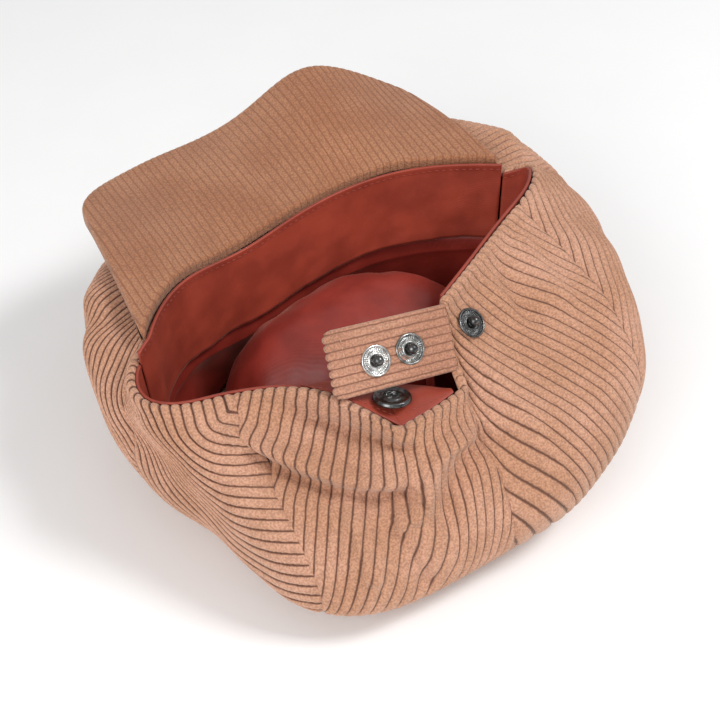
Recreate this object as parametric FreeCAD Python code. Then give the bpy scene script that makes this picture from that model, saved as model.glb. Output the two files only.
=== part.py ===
import FreeCAD, Part
import math
import os
from FreeCAD import Vector

# Newsboy cap in wide-wale corduroy, lying upside down on its crown, in millimetres.
# +Z is up, the peak points to -Y, the back slit with its adjuster tab faces +Y.
# The origin is on the resting plane, in the middle of the cap's outline.

# ---- Driving dimensions -----------------------------------------------------------------------
CLOTH = 1.5                 # thickness of the corduroy
LINING = 0.8                # thickness of the satin lining
SEAM_GAP = 0.4              # clear gap between neighbouring pieces at a seam
SEAM_BEVEL = 1.4            # the gap is this much wider on the cloth's inner side

NOTCH = Vector(-10.5, 71.5, 78)   # bottom of the back slit
FLAP_TIP = Vector(25, 79, 77)     # free corner of the left flap, folded outwards
TAB_TOP = Vector(-15, 45, 105.5)  # top of the slit's right edge, where the tab is sewn on
TAB_FOOT = Vector(-11.5, 63, 83)  # lower end of the tab's root on that edge
TAB_POINTS = Vector(0.993, -0.052, 0.106)   # direction in which the tab points at rest, roughly
PEAK_LEFT = Vector(98, -19, 82)   # ends of the seam between crown and peak
PEAK_RIGHT = Vector(-102, -39, 94)
PEAK_SAG = 34                     # how far the peak's seam bows forward of its two ends
PEAK_DIP = 7                      # how far it dips on its way to the left end
LEFT_EDGE = [Vector(36, 66, 82.5), Vector(46, 53, 86), Vector(58, 43, 87), Vector(71, 36, 86),
             Vector(85, 31, 85), Vector(100, 25, 82.5), Vector(112, 12, 80.5), Vector(112.5, 0, 80.5),
             Vector(107, -11, 81)]
RIGHT_EDGE = [Vector(-112, -29, 100), Vector(-105, -13, 105), Vector(-74, 9, 106), Vector(-45, 27, 106)]

EDGE_SEAMS = [94, 177, 201, 232, 270, 308, 353, 382, 454]    # where the seams meet the opening, degrees
CROWN_SEAMS = [95, 137, 192, 233, 273, 317, 362, 413, 455]   # where they cross the crown, degrees
FLAP_ANGLE = 401                  # where the left flap's facing begins on the opening, degrees
PANEL_NAMES = ["back_right", "right", "front_right", "front_centre_right",
               "front_centre_left", "front_left", "left", "back_left"]

CROWN_RADIUS = 124          # fullest ring of the crown
FULLEST_AT = 0.5            # part of the way from the opening to the flat bottom
FLOOR_RADIUS = 82           # flat disc on which the crown rests
BUTTON_HOLE = 4             # radius of the hole where the panels meet over the button
BUTTON_RADIUS = 11
DENT_RADIUS = 26            # the middle of the crown is pushed up into a dent by the button
DENT_RISE = 10

BAND_HEIGHT = 42            # sweatband
BAND_OUT = 2.5              # its outer face stands this far inside the opening edge
BAND_LEAN = 3               # its lower edge stands this much further in
LINING_DROP = 1.5           # the lining's side begins this far under the band
DOME_CENTRE = Vector(-8, -13, 0)
DOME_RADII = (72, 49)
DOME_TOP = 70
DOME_BASE = 16
DOME_FOOT = 9               # the lining's side ends this far outside the dome
DOME_FOOT_RISE = 7

PEAK_FRONT = -141           # front of the peak
PEAK_CORNER = -106          # where the straight sides turn into the round front
PEAK_HALF_WIDTH = 92
PEAK_SWEEP = 0.97 * math.pi / 2      # how far the outline runs towards its corners
PEAK_BOARD = 2.0
PEAK_PLAY = 0.6             # clearance between the board and its covers
PEAK_INSET = 0.02           # the board stops this share of the peak short of its border
PEAK_OFF = Vector(0, -2.5, 6.3)      # the peak's middle surface starts this far off the opening edge

TAB_LENGTH = 52
TAB_OFF = 4.4               # from the slit's edge to the tab's root
TAB_WIDTH = 29
TAB_CORNER = 3.5
STUD_PLACES = {"tab_stud_outer": (33, 2.0), "tab_stud_inner": (16.5, 0.6)}   # along and across the tab
FLANK_STUD = Vector(-24.3, 49.5, 93)      # near this point of the back right panel
SOCKET_CENTRE = Vector(22, 64.5, 80)      # near this point of the left flap's facing
STUD_RADIUS = 6.75
SOCKET_RADIUS = 8.5
SOCKET_LIFT = 2.7           # its underside over the facing at its middle
SOCKET_BACK = 2.9           # from the facing's upper side down to the head of its rivet
SOCKET_LEAN = Vector(-0.2, -0.25, 0)      # it leans to the right and into the cap
SHANK_RADIUS = 1.2

UP = Vector(0, 0, 1)


# ---- Small helpers ----------------------------------------------------------------------------
def unit(v):
    return v * (1.0 / v.Length)


def mix(a, b, t):
    return a * (1 - t) + b * t


def polar(angle_deg, radius, z):
    a = math.radians(angle_deg)
    return Vector(radius * math.cos(a), radius * math.sin(a), z)


def bump(angle_deg, centre, width):
    """A smooth hill of height 1 around the cap, centred on an angle."""
    d = (angle_deg - centre + 180) % 360 - 180
    return math.exp(-(d / width) ** 2)


def hermite(a, b, ta, tb, t):
    """Point on the cubic from a to b with end tangents ta and tb."""
    t2, t3 = t * t, t * t * t
    return a * (2 * t3 - 3 * t2 + 1) + ta * (t3 - 2 * t2 + t) + b * (3 * t2 - 2 * t3) + tb * (t3 - t2)


def smooth_line(points, count):
    curve = Part.BSplineCurve()
    curve.interpolate(points)
    return curve.toShape().discretize(Number=count)


# ---- Opening edge: a closed loop from the notch round the right side and back -----------------
def peak_seam(u):
    """The seam of the peak, u from -1 at the right end to 1 at the left end."""
    p = mix(PEAK_RIGHT, PEAK_LEFT, (u + 1) / 2)
    bow = 1 - abs(u) ** (3.3 + 0.8 * u)
    dip = math.exp(-((u - 0.35) / 0.3) ** 2)
    return p - Vector(0, PEAK_SAG * bow, PEAK_DIP * dip)


def opening_loop():
    slit_right = smooth_line([NOTCH, TAB_FOOT, TAB_TOP], 12)
    right = smooth_line([TAB_TOP] + RIGHT_EDGE[::-1] + [PEAK_RIGHT], 40)
    seam = [peak_seam(-1 + i / 30) for i in range(61)]
    left = smooth_line([PEAK_LEFT] + LEFT_EDGE[::-1] + [FLAP_TIP], 50)
    slit_left = smooth_line([FLAP_TIP, mix(FLAP_TIP, NOTCH, 0.5) + Vector(0, 1.5, 1), NOTCH], 12)
    return slit_right + right[1:] + seam[1:] + left[1:] + slit_left[1:]


LOOP = opening_loop()
LOOP_RUN = [0.0]
for before, after in zip(LOOP, LOOP[1:]):
    LOOP_RUN.append(LOOP_RUN[-1] + (after - before).Length)


def loop_angle(p):
    """Polar angle of a loop point, counted on from the notch so that it only grows."""
    a = math.degrees(math.atan2(p.y, p.x))
    return a if a >= EDGE_SEAMS[0] - 1 else a + 360


def run_at_angle(angle):
    """Distance along the loop at which it crosses a polar angle."""
    inner = range(1, len(LOOP) - 1)
    return min((abs(loop_angle(LOOP[i]) - angle), LOOP_RUN[i]) for i in inner)[1]


def loop_point(run):
    run = min(max(run, 0.0), LOOP_RUN[-1])
    for i in range(1, len(LOOP)):
        if run <= LOOP_RUN[i]:
            t = (run - LOOP_RUN[i - 1]) / (LOOP_RUN[i] - LOOP_RUN[i - 1])
            return mix(LOOP[i - 1], LOOP[i], t)
    return LOOP[-1]


def loop_inward(run):
    """Horizontal direction from the loop into the cap."""
    along = loop_point(run + 2) - loop_point(run - 2)
    return unit(UP.cross(along))


SEAM_RUNS = [0.0] + [run_at_angle(a) for a in EDGE_SEAMS[1:-1]] + [LOOP_RUN[-1]]
FLAP_RUN = run_at_angle(FLAP_ANGLE)


# ---- Crown ------------------------------------------------------------------------------------
def fullest_point(angle):
    """The crown's widest ring: low at the back left, high at the front right, dipped under the peak."""
    radius = CROWN_RADIUS + 20 * bump(angle, 212, 28) + 4 * bump(angle, 318, 22) - 14.5 * bump(angle, 22, 21)
    radius += 6 * bump(angle, 54, 14) - 8 * bump(angle, 90, 16) + 7 * bump(angle, 143, 16)
    z = 58 - 38 * math.cos(math.radians(angle - 57)) - 27 * bump(angle, 276, 42)
    z += 10 * bump(angle, 0, 30) + 22 * bump(angle, 330, 26)
    return polar(angle, radius, z)


def crown_wall(run, angle, v):
    """Outer surface of the crown's wall, from the opening edge (v = 0) to the flat bottom (v = 1)."""
    edge = loop_point(run)
    full = fullest_point(angle)
    floor = polar(angle, FLOOR_RADIUS, 0)
    outward = polar(angle, 1, 0)
    if v < FULLEST_AT:
        reach = (full - edge).Length
        rounded = (full - edge) * 0.8 + outward * (0.45 * reach)
        steep = (full - edge) * 0.5 - UP * (0.45 * reach)
        steepness = bump(angle, 108, 18) + bump(angle, 66, 17)
        start = mix(rounded, steep, min(steepness, 1))
        return hermite(edge, full, start, Vector(0, 0, -0.95 * reach), v / FULLEST_AT)
    drop = Vector(0, 0, -1.6 * full.z)
    inward = outward * (-0.9 * (full - floor).Length)
    return hermite(full, floor, drop, inward, (v - FULLEST_AT) / (1 - FULLEST_AT))


def panel_surface(k, u, v):
    """Point of panel k's wall, from its one seam line (u = 0) to the other (u = 1)."""
    run = SEAM_RUNS[k] + u * (SEAM_RUNS[k + 1] - SEAM_RUNS[k])
    angle = CROWN_SEAMS[k] + u * (CROWN_SEAMS[k + 1] - CROWN_SEAMS[k])
    return crown_wall(run, angle, v)


SEWING = 0.02               # edges closer than this are sewn together


def grid_surface(points):
    surface = Part.BSplineSurface()
    surface.interpolate(points)
    return surface


def normal_at(surface, u, v, step=0.01):
    """Unit normal of a point function by central differences."""
    du = surface(min(u + step, 1), v) - surface(max(u - step, 0), v)
    dv = surface(u, min(v + step, 1)) - surface(u, max(v - step, 0))
    return unit(dv.cross(du))


def solid_from(faces):
    shell = Part.makeShell(faces)
    shell.sewShape(SEWING)
    solid = Part.makeSolid(Part.Shell(shell.Faces))
    if solid.Volume < 0:
        solid.reverse()
    return solid


def between(edge_a, edge_b):
    """Ruled face from one edge to another, as a plain ruled surface."""
    return Part.makeRuledSurface(edge_a, edge_b, 1)


def solid_between(grid_a, grid_b):
    """Closed solid between two grids of points."""
    surface_a, surface_b = grid_surface(grid_a), grid_surface(grid_b)
    faces = [surface_a.toShape(), surface_b.toShape()]
    for side in range(4):
        faces.append(between(border(surface_a, side), border(surface_b, side)))
    return solid_from(faces)


def border(surface, side):
    """Border edge of a surface: its first and last line of constant u, then those of constant v."""
    bound = surface.bounds()[side]
    curve = surface.uIso(bound) if side < 2 else surface.vIso(bound)
    return curve.toShape()


def offset_grid(surface, offset, nu, nv):
    """Grid of points of a point function over the unit square, moved along its normals."""
    grid = []
    for i in range(nu):
        row = []
        for j in range(nv):
            u, v = i / (nu - 1), j / (nv - 1)
            row.append(surface(u, v) + normal_at(surface, u, v) * offset)
        grid.append(row)
    return grid


def slab(surface, low, high, nu, nv):
    """Closed solid between two offsets of a point function."""
    return solid_between(offset_grid(surface, low, nu, nv), offset_grid(surface, high, nu, nv))


def planar_face(edges):
    return Part.Face(Part.Wire(Part.__sortEdges__(edges)))


def line(a, b):
    return Part.LineSegment(a, b).toShape()


def crown_panel(k):
    """One gore: a curved wall whose lower border is an arc of the flat bottom, and a flat wedge."""
    def trimmed(gap):
        def surface(u, v):
            width = (panel_surface(k, 0, v) - panel_surface(k, 1, v)).Length
            inset = 0.5 * gap / width
            return panel_surface(k, inset + u * (1 - 2 * inset), v)
        return surface

    nu, nv = 9, 15
    outer = offset_grid(trimmed(SEAM_GAP), 0, nu, nv)
    inner = offset_grid(trimmed(SEAM_GAP + SEAM_BEVEL), -CLOTH, nu, nv)
    for i in range(nu):
        outer[i][-1].z = 0
        inner[i][-1] = outer[i][-1] + UP * CLOTH
    wall_out, wall_in = grid_surface(outer), grid_surface(inner)
    faces = [wall_out.toShape(), wall_in.toShape()]
    for side in range(3):
        faces.append(between(border(wall_out, side), border(wall_in, side)))

    rims, tips = [], []
    for side, angle in ((1, CROWN_SEAMS[k]), (-1, CROWN_SEAMS[k + 1])):
        for ring, radius, rise in ((rims, DENT_RADIUS, 0), (tips, BUTTON_HOLE, DENT_RISE)):
            lean = side * math.degrees(0.5 * SEAM_GAP / radius)
            ring.append(polar(angle + lean, radius, rise))
    corners = [outer[0][-1], outer[-1][-1]]
    outline = [corners[0], rims[0], tips[0], tips[1], rims[1], corners[1]]
    for wall, lift in ((wall_out, 0), (wall_in, CLOTH)):
        a, b, c, d, e, f = [q + UP * lift for q in outline]
        faces.append(planar_face([border(wall, 3), line(a, b), line(b, e), line(e, f)]))
        faces.append(planar_face([line(b, c), line(c, d), line(d, e), line(e, b)]))
    for a, b in zip(outline, outline[1:]):
        faces.append(between(line(a, b), line(a + UP * CLOTH, b + UP * CLOTH)))
    return solid_from(faces)


# ---- Sweatband, lining and slit facing --------------------------------------------------------
def band_piece(run_a, run_b, lift):
    """A strip of the sweatband hanging down inside the opening edge."""
    def surface(u, v):
        run = run_a + u * (run_b - run_a)
        p = loop_point(run) + loop_inward(run) * (BAND_OUT + BAND_LEAN * v)
        return p + UP * (lift - v * BAND_HEIGHT)
    return slab(surface, -LINING, 0, 15, 5)


def lining_side():
    """The lining's side: from under the sweatband out and down to the foot of the dome."""
    start, end = 3, LOOP_RUN[-1] - 40

    def surface(u, v):
        run = start + u * (end - start)
        p = loop_point(run)
        angle = loop_angle(p)
        top = p + loop_inward(run) * (BAND_OUT + BAND_LEAN) - UP * (BAND_HEIGHT + LINING_DROP)
        foot = DOME_CENTRE + UP * DOME_FOOT_RISE
        foot.x += (DOME_RADII[0] + DOME_FOOT) * math.cos(math.radians(angle))
        foot.y += (DOME_RADII[1] + DOME_FOOT) * math.sin(math.radians(angle))
        out = polar(angle, 18, 0)
        return hermite(top, foot, out - UP * 25, UP * -20 - out * 0.5, v)
    return slab(surface, 0, LINING, 41, 5)


def lining_tip():
    """The lining's tip, puffed up into a dome: a revolved skin stretched to an oval."""
    def skin(inset):
        points = []
        for i in range(9):
            a = math.radians(90 * i / 8)
            r = (DOME_RADII[0] - inset) * math.sin(a)
            z = DOME_BASE + (DOME_TOP - inset - DOME_BASE) * math.cos(a)
            points.append(Vector(r, 0, z))
        curve = Part.BSplineCurve()
        curve.interpolate(points)
        return points, curve.toShape()
    (top_out, *_, foot_out), outer = skin(0)
    (top_in, *_, foot_in), inner = skin(LINING)
    section = planar_face([outer, inner, line(top_out, top_in), line(foot_out, foot_in)])
    dome = section.revolve(Vector(0, 0, 0), UP, 360)
    stretch = FreeCAD.Matrix()
    stretch.A22 = DOME_RADII[1] / DOME_RADII[0]
    dome = dome.transformGeometry(stretch)
    dome.translate(DOME_CENTRE)
    return dome


# The fold where the left flap's facing turns down into the cap, from its left end to the notch.
FOLD_LINE = [Vector(56, 39, 86), Vector(37, 38, 84), Vector(17, 48, 81.5), Vector(2, 59, 80),
             Vector(-5, 66, 78)]
FOLD_STEPS = 20
FOLD = smooth_line(FOLD_LINE, FOLD_STEPS + 1)


def facing_surface(u, v):
    """Satin facing of the left flap: a shelf that rolls over the fold and drops into the cap."""
    left, tip, notch = FLAP_RUN + 3, LOOP_RUN[-1] - (FLAP_TIP - NOTCH).Length, LOOP_RUN[-1] - 5
    run = left + 2 * u * (tip - left) if u < 0.5 else tip + (2 * u - 1) * (notch - tip)
    edge = loop_point(run) + loop_inward(run) * 2.4 + UP * 1.3
    step = min(int(u * FOLD_STEPS), FOLD_STEPS - 1)
    ridge = mix(FOLD[step], FOLD[step + 1], u * FOLD_STEPS - step)
    low = ridge - Vector(3, 4, 14)
    return hermite(edge, low, (ridge - edge) * 1.6 + UP * 6, UP * -34, v)


def slit_facing():
    return slab(facing_surface, 0, LINING, 17, 9)


# ---- Peak -------------------------------------------------------------------------------------
def peak_rim(u):
    """Outer outline of the peak: straight sides and a round, waved front."""
    a = u * PEAK_SWEEP
    x = -3 + PEAK_HALF_WIDTH * math.copysign(abs(math.sin(a)) ** 0.8, a)
    y = PEAK_CORNER + (PEAK_FRONT - PEAK_CORNER) * abs(math.cos(a)) ** 0.8
    z = 90 + 22 * math.exp(-((x + 45) / 38) ** 2) + 7 * (1 - math.tanh((x + 40) / 20)) / 2
    return Vector(x, y, z)


def peak_surface(u01, w):
    """Middle surface of the peak from its seam (w = 0) to its rim (w = 1)."""
    u = 2 * u01 - 1
    seam = peak_seam(u) + PEAK_OFF
    return mix(seam, peak_rim(u), w) + UP * (7 * w * (1 - w))


def peak_layer(low, high, inset):
    """A layer of the peak between two heights over its middle surface, short of the border by an inset."""
    nu, nv = 41, 9
    grids = []
    for height in (low, high):
        grid = []
        for i in range(nu):
            u = inset + i / (nu - 1) * (1 - 2 * inset)
            row = [peak_surface(u, inset + j / (nv - 1) * (1 - 2 * inset)) + UP * height for j in range(nv)]
            grid.append(row)
        grids.append(grid)
    return solid_between(grids[0], grids[1])


# ---- Adjuster tab -----------------------------------------------------------------------------
TAB_ACROSS = unit(TAB_FOOT - TAB_TOP)
TAB_ALONG = unit(TAB_POINTS - TAB_ACROSS * TAB_POINTS.dot(TAB_ACROSS))
TAB_FACE = TAB_ALONG.cross(TAB_ACROSS)      # direction in which its studs point
TAB_ROOT = mix(TAB_TOP, TAB_FOOT, 0.5) + TAB_ALONG * TAB_OFF
PLY_GAP = 0.05                              # half the clearance between the tab's two plies
HOLE_CLEARANCE = 0.1


def placed(shape, origin, axis, along):
    """Moves a shape from its own frame (+Z is its axis) to a place on the cap."""
    across = unit(axis.cross(along))
    ahead = across.cross(axis)
    m = FreeCAD.Matrix(ahead.x, across.x, axis.x, origin.x,
                       ahead.y, across.y, axis.y, origin.y,
                       ahead.z, across.z, axis.z, origin.z, 0, 0, 0, 1)
    return shape.transformed(m)


def tab_point(along, across, height=0):
    return TAB_ROOT + TAB_ALONG * along + TAB_ACROSS * across + TAB_FACE * height


def tab_ply(low, high):
    """One corduroy ply of the tab, with rounded corners and a hole for each stud."""
    ply = Part.makeBox(TAB_LENGTH, TAB_WIDTH, high - low, Vector(0, -TAB_WIDTH / 2, low))
    corners = [e for e in ply.Edges if e.BoundBox.ZLength > 0.5]
    ply = ply.makeFillet(TAB_CORNER, corners)
    for along, across in STUD_PLACES.values():
        hole = Part.makeCylinder(SHANK_RADIUS + HOLE_CLEARANCE, 10, Vector(along, across, -5))
        ply = ply.cut(hole)
    return placed(ply, TAB_ROOT, TAB_FACE, TAB_ALONG)


# ---- Press studs, socket and button -----------------------------------------------------------
def turned(profile):
    """Solid of revolution from a closed outline of (radius, height) pairs."""
    points = [Vector(r, 0, z) for r, z in profile]
    return Part.Face(Part.makePolygon(points + points[:1])).revolve(Vector(0, 0, 0), UP, 360)


def arc_profile(centre_z, radius, start_deg, end_deg, steps):
    """Points of a round outline about a centre on the axis."""
    points = []
    for i in range(steps + 1):
        a = math.radians(start_deg + (end_deg - start_deg) * i / steps)
        points.append((radius * math.cos(a), centre_z + radius * math.sin(a)))
    return points


def stud():
    """Ball stud: a dished flange with a raised rim, a neck and a ball, bored for its rivet."""
    bore = SHANK_RADIUS + 0.05
    ball = arc_profile(3.3, 2.9, -45, 80, 10)
    return turned([(bore, 0), (STUD_RADIUS, 0), (STUD_RADIUS, 1.0), (STUD_RADIUS - 0.3, 1.3),
                   (STUD_RADIUS - 0.9, 1.3), (STUD_RADIUS - 1.3, 0.6), (2.4, 0.6)]
                  + ball + [(0, ball[-1][1]), (0, 2.6), (bore, 2.6)])


def rivet(shank):
    """Rivet behind a stud or socket: a low domed disc with a shank through the cloth."""
    return turned([(0, shank), (0, -1.1), (3, -1.0), (5.0, -0.6), (5.5, -0.15), (5.5, 0),
                   (SHANK_RADIUS, 0), (SHANK_RADIUS, shank)])


def socket():
    """Socket of the press stud: a disc with a raised rim, a stepped hole and a spring chamber."""
    bore = SHANK_RADIUS + 0.05
    return turned([(bore, 0), (SOCKET_RADIUS - 0.6, 0), (SOCKET_RADIUS, 0.5), (SOCKET_RADIUS, 1.6),
                   (SOCKET_RADIUS - 0.5, 2.3), (SOCKET_RADIUS - 1.1, 2.4), (SOCKET_RADIUS - 1.8, 2.0),
                   (5.2, 1.9), (4.6, 2.5), (3.6, 2.5), (3.2, 2.1), (3.2, 1.8),
                   (5.6, 1.6), (5.6, 0.6), (bore, 0.6)])


def socket_spring():
    """Wire spring in the socket: two straight limbs that grip the stud's neck, joined by a bend."""
    half, limb, bend, wire_radius, z = 2.6, 3.4, 1.2, 0.4, 1.1
    turn = Part.Arc(Vector(limb, half, z), Vector(limb + bend, 0, z), Vector(limb, -half, z))
    path = Part.Wire([line(Vector(-limb, half, z), Vector(limb, half, z)),
                      turn.toShape(),
                      line(Vector(limb, -half, z), Vector(-limb, -half, z))])
    ring = Part.Wire(Part.makeCircle(wire_radius, Vector(-limb, half, z), Vector(1, 0, 0)))
    return path.makePipeShell([ring], True, True)


def surface_place(surface, target):
    """The point of a point function nearest to a target, and its outward normal."""
    best = min(((surface(i / 40, j / 60) - target).Length, i, j) for i in range(1, 40) for j in range(1, 60))
    u, v = best[1] / 40, best[2] / 60
    return surface(u, v), normal_at(surface, u, v)


def drilled(shape, centre, axis):
    hole = Part.makeCylinder(SHANK_RADIUS + HOLE_CLEARANCE, 12, centre - axis * 6, axis)
    return shape.cut(hole)


def button_parts():
    """Covered button in the dent: corduroy cover, metal shell and the back plate inside the crown."""
    top = DENT_RISE - 4.4
    cover = turned([(0, 1.0), (5, 1.3), (9, 2.6), (BUTTON_RADIUS, top - 1.4), (BUTTON_RADIUS, top),
                    (BUTTON_RADIUS - 1.2, top), (BUTTON_RADIUS - 1.2, top - 1.2),
                    (8.4, 3.6), (5, 2.4), (0, 2.1)])
    shell = turned([(0, 2.2), (4.9, 2.5), (8.2, 3.7), (BUTTON_RADIUS - 1.4, top - 1.1),
                    (BUTTON_RADIUS - 1.4, top), (1.4, top), (1.4, 4.2), (0, 4.2)])
    above = DENT_RISE + CLOTH + 0.6
    back = turned([(0, 4.3), (1.3, 4.3), (1.3, above), (7, above), (7, above + 1), (0, above + 1)])
    return {"button_cover": cover, "button_shell": shell, "button_back": back}


# ---- The whole cap ----------------------------------------------------------------------------
def build():
    shapes = {}
    for k, name in enumerate(PANEL_NAMES):
        shapes["crown_panel_" + name] = crown_panel(k)
    tab_run = (TAB_FOOT - NOTCH).Length + (TAB_TOP - TAB_FOOT).Length
    shapes["sweatband_right"] = band_piece(tab_run + 4, SEAM_RUNS[2] - 2, 0.5)
    shapes["sweatband_front"] = band_piece(SEAM_RUNS[2] - 1, SEAM_RUNS[6] + 1, 3)
    shapes["sweatband_left"] = band_piece(SEAM_RUNS[6] + 2, FLAP_RUN - 3, 0.5)
    shapes["lining_side"] = lining_side()
    shapes["lining_tip"] = lining_tip()
    shapes["slit_facing"] = slit_facing()
    near = PEAK_BOARD / 2 + PEAK_PLAY
    shapes["peak_board"] = peak_layer(-PEAK_BOARD / 2, PEAK_BOARD / 2, PEAK_INSET)
    shapes["peak_under_cover"] = peak_layer(near, near + CLOTH, 0)
    shapes["peak_top_cover"] = peak_layer(-near - CLOTH, -near, 0)

    shapes["tab_front"] = tab_ply(PLY_GAP, CLOTH)
    shapes["tab_back"] = tab_ply(-CLOTH, -PLY_GAP)
    for name, (along, across) in STUD_PLACES.items():
        front, behind = (tab_point(along, across, height) for height in (CLOTH + 0.1, -CLOTH - 0.1))
        shapes[name] = placed(stud(), front, TAB_FACE, TAB_ALONG)
        shapes[name.replace("stud", "rivet")] = placed(rivet(2 * CLOTH + 2.2), behind, TAB_FACE, TAB_ALONG)

    place, face = surface_place(lambda u, v: panel_surface(0, u, v), FLANK_STUD)
    shapes["flank_stud"] = placed(stud(), place + face * 1.2, face, TAB_ALONG)
    shapes["flank_rivet"] = placed(rivet(CLOTH + 3.6), place - face * (CLOTH + 0.6), face, TAB_ALONG)
    shapes["crown_panel_back_right"] = drilled(shapes["crown_panel_back_right"], place, face)

    place, down = surface_place(facing_surface, SOCKET_CENTRE)
    face = unit(SOCKET_LEAN - down)
    for name, shape in (("snap_socket", socket()), ("socket_spring", socket_spring())):
        shapes[name] = placed(shape, place + face * SOCKET_LIFT, face, TAB_ALONG)
    behind = place - face * SOCKET_BACK
    shapes["socket_rivet"] = placed(rivet(SOCKET_BACK + SOCKET_LIFT + 0.2), behind, face, TAB_ALONG)
    shapes["slit_facing"] = drilled(shapes["slit_facing"], place, face)
    shapes.update(button_parts())
    return shapes


if __name__ == "__main__":
    os.makedirs("parts", exist_ok=True)
    cap = build()
    whole = Part.makeCompound(list(cap.values())).optimalBoundingBox(False)
    to_origin = Vector(-whole.Center.x, -whole.Center.y, 0)
    for name, shape in cap.items():
        shape.translate(to_origin)
        box = shape.optimalBoundingBox(False)
        print("%-34s %-6s valid %s volume %7.0f  x %6.1f %6.1f  y %6.1f %6.1f  z %6.1f %6.1f" % (
            name, shape.ShapeType, shape.isValid(), shape.Volume,
            box.XMin, box.XMax, box.YMin, box.YMax, box.ZMin, box.ZMax))
        shape.exportStep("parts/" + name + ".step")
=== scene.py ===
import math

import bpy
import numpy as np
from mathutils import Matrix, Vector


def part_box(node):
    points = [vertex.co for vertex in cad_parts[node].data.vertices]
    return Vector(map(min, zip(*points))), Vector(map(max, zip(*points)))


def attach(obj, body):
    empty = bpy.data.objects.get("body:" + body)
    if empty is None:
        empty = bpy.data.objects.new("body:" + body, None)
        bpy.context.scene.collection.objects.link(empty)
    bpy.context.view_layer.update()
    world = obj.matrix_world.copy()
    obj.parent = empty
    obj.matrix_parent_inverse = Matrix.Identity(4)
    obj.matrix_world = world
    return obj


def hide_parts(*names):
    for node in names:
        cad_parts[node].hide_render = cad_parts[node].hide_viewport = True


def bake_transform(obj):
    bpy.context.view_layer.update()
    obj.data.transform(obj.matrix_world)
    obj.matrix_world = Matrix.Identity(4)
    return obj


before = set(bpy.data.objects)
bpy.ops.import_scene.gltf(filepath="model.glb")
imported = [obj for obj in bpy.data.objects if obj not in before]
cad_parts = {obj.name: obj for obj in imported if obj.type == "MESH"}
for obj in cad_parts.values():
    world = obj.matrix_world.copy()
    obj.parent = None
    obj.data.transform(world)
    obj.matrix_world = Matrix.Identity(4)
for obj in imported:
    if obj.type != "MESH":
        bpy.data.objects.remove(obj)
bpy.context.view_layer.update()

# Newsboy cap in wide-wale corduroy, lying upside down on its crown.
# Shapes are worked out in millimetres about the crown's axis and moved onto the frame
# when a mesh is made.

MM = 0.001
button_low, button_high = (np.array(corner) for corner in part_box("button_shell"))
CROWN_AXIS = np.append((button_low + button_high)[:2] / 2, 0.0)

# ---- Driving dimensions, in millimetres -------------------------------------------------------
NOTCH = (-10.5, 71.5, 78)        # bottom of the back slit
FLAP_TIP = (25, 79, 77)          # free corner of the left flap, folded outwards
TAB_TOP = (-15, 45, 105.5)       # top of the slit's right edge, where the tab is sewn on
TAB_FOOT = (-11.5, 63, 83)       # lower end of the tab's root
PEAK_LEFT = (98, -19, 82)        # ends of the seam between crown and peak
PEAK_RIGHT = (-102, -39, 94)
PEAK_SAG, PEAK_DIP = 34, 7       # how far the seam bows forward, and dips beside its middle
LEFT_EDGE = [(36, 66, 82.5), (46, 53, 86), (58, 43, 87), (71, 36, 86), (85, 31, 85), (100, 25, 82.5),
             (112, 12, 80.5), (112.5, 0, 80.5), (107, -11, 81)]
RIGHT_EDGE = [(-112, -29, 100), (-105, -13, 105), (-74, 9, 106), (-45, 27, 106)]
EDGE_SEAMS = [94, 177, 201, 232, 270, 308, 353, 382, 454]
CROWN_SEAMS = [95, 137, 192, 233, 273, 317, 362, 413, 455]
FLAP_ANGLE = 401                 # where the left flap's facing begins on the opening
PANELS = ["back_right", "right", "front_right", "front_centre_right",
          "front_centre_left", "front_left", "left", "back_left"]
CROWN_RADIUS = 124
FULLEST_HEIGHT, FULLEST_TILT, LOW_SIDE = 58, 38, 57      # widest ring: mean height, tilt, its low side
RADIUS_BULGES = [(20, 212, 28), (4, 318, 22), (-14.5, 22, 21),
                 (6, 54, 14), (-8, 90, 16), (7, 143, 16)]   # (millimetres, angle, spread in degrees)
HEIGHT_BULGES = [(-27, 276, 42), (10, 0, 30), (22, 330, 26)]
FLOOR_RADIUS = 82                # where the wall meets the flat bottom
DENT_RADIUS, DENT_RISE, BUTTON_HOLE = 26, 10, 4  # the hollow under the button's place
UP = np.array([0.0, 0.0, 1.0])

CLOTH = 1.5                      # corduroy
LINING = 0.8                     # satin
WALE_PITCH = 4.45
FINE_PITCH = 3.6                 # the peak and the tab show finer wales
WALE_HEIGHT = 1.3
WALE_DEPTH = 0.75                # the ground between the wales lies this far under the CAD surface
BAND_OUT = 2.5                   # sweatband's distance inside the opening edge
BAND_LEAN = 3                    # its lower edge stands this much further in
BAND_HEIGHT = 42
BAND_STEP = 1.6                  # between its mesh's columns
DOME_CENTRE, DOME_RADII = np.array([-8.0, -13.0, 0.0]), (72, 49)
DOME_TOP, DOME_BASE = 70, 16
DOME_FOOT = 9                    # the lining's side ends this far outside the dome
FOLD_LINE = [(56, 39, 86), (37, 38, 84), (17, 48, 81.5), (2, 59, 80), (-5, 66, 78)]
PEAK_HALF_WIDTH, PEAK_CORNER, PEAK_FRONT = 92, -106, -141
PEAK_SWEEP = 0.97 * math.pi / 2
PEAK_SQUARENESS = 0.8            # 1 would be an ellipse
TAB_LENGTH, TAB_WIDTH, TAB_CORNER = 52, 29, 3.5
TAB_OFF = 4.4                    # from the slit's edge to the tab's root
STUD_PLACES = {"tab_stud_outer": (33, 2.0), "tab_stud_inner": (16.5, 0.6)}
STUD_RADIUS, SOCKET_RADIUS, BUTTON_RADIUS = 6.75, 8.5, 11


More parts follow.
